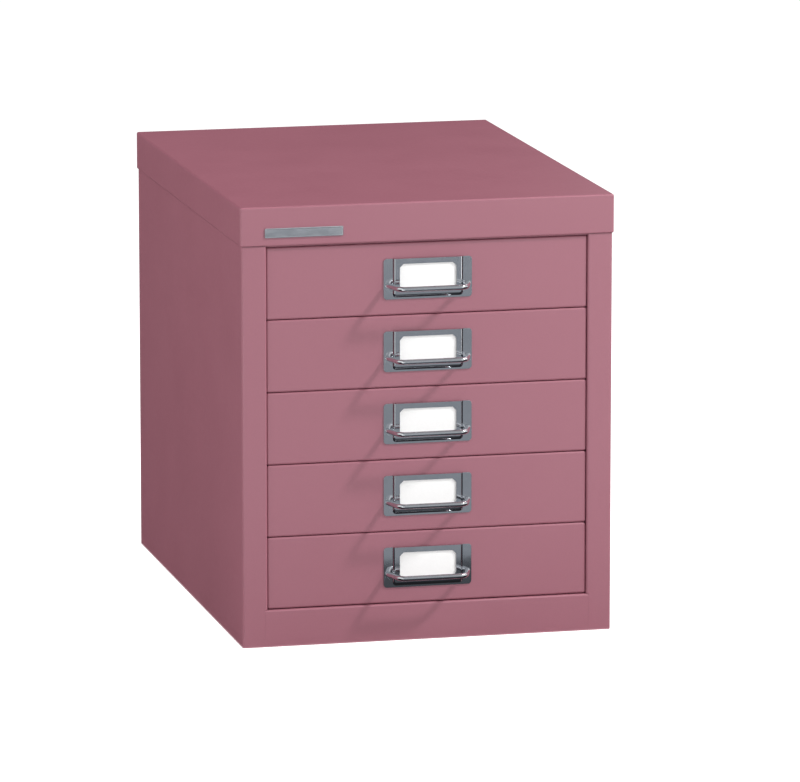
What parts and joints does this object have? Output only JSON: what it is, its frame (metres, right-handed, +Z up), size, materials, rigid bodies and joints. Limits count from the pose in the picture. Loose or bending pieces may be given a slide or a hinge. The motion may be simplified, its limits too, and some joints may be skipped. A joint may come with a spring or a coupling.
{
  "type": "desktop drawer cabinet",
  "caption": "Low sheet-steel desktop cabinet with a stack of shallow full-width drawers, each with a wire pull and a card holder on its front.",
  "frame": {"origin": "centre of the cabinet's rest face, on the surface it stands on, midway across and midway along the lid's depth", "axes": "+Z up, the drawers open towards -Y, +X to the right of someone facing the drawers"},
  "size_m": [0.279, 0.3981, 0.325],
  "materials": {
    "carcass_paint": "satin baked enamel, dusky pink",
    "inner_paint": "the same enamel, thinner and duller inside",
    "drawer_paint": "satin baked enamel, dusky pink",
    "bright_chrome": "bright chrome plate on steel",
    "zinc_steel": "bright zinc plate",
    "label_card": "matt white card"
  },
  "bodies": {
    "cabinet": {"lid": "carcass_paint", "lid_stiffener": "inner_paint", "badge_strip": "bright_chrome", "back_panel": "carcass_paint", "base_pan": "inner_paint", "bottom_rail": "carcass_paint", "top_crossrail": "inner_paint", "side_panel_left": "carcass_paint", "side_panel_right": "carcass_paint", "upright_front_left": "inner_paint", "upright_front_right": "inner_paint", "upright_rear_left": "inner_paint", "upright_rear_right": "inner_paint", "runner_left_1": "inner_paint", "runner_left_2": "inner_paint", "runner_left_3": "inner_paint", "runner_left_4": "inner_paint", "runner_left_5": "inner_paint", "runner_right_1": "inner_paint", "runner_right_2": "inner_paint", "runner_right_3": "inner_paint", "runner_right_4": "inner_paint", "runner_right_5": "inner_paint"},
    "drawer_1": {"tray_1": "drawer_paint", "front_1": "drawer_paint", "handle_plate_1": "bright_chrome", "pull_wire_1": "bright_chrome", "label_card_1": "label_card", "pull_washers_1": "zinc_steel"},
    "drawer_2": {"tray_2": "drawer_paint", "front_2": "drawer_paint", "handle_plate_2": "bright_chrome", "pull_wire_2": "bright_chrome", "label_card_2": "label_card", "pull_washers_2": "zinc_steel"},
    "drawer_3": {"tray_3": "drawer_paint", "front_3": "drawer_paint", "handle_plate_3": "bright_chrome", "pull_wire_3": "bright_chrome", "label_card_3": "label_card", "pull_washers_3": "zinc_steel"},
    "drawer_4": {"tray_4": "drawer_paint", "front_4": "drawer_paint", "handle_plate_4": "bright_chrome", "pull_wire_4": "bright_chrome", "label_card_4": "label_card", "pull_washers_4": "zinc_steel"},
    "drawer_5": {"tray_5": "drawer_paint", "front_5": "drawer_paint", "handle_plate_5": "bright_chrome", "pull_wire_5": "bright_chrome", "label_card_5": "label_card", "pull_washers_5": "zinc_steel"}
  },
  "joints": [
    {"name": "drawer_1_slide", "type": "slide", "parent": "cabinet", "child": "drawer_1", "axis": [0, -1, 0], "range_m": [0, 0.29]},
    {"name": "drawer_2_slide", "type": "slide", "parent": "cabinet", "child": "drawer_2", "axis": [0, -1, 0], "range_m": [0, 0.29]},
    {"name": "drawer_3_slide", "type": "slide", "parent": "cabinet", "child": "drawer_3", "axis": [0, -1, 0], "range_m": [0, 0.29]},
    {"name": "drawer_4_slide", "type": "slide", "parent": "cabinet", "child": "drawer_4", "axis": [0, -1, 0], "range_m": [0, 0.29]},
    {"name": "drawer_5_slide", "type": "slide", "parent": "cabinet", "child": "drawer_5", "axis": [0, -1, 0], "range_m": [0, 0.29]}
  ]
}
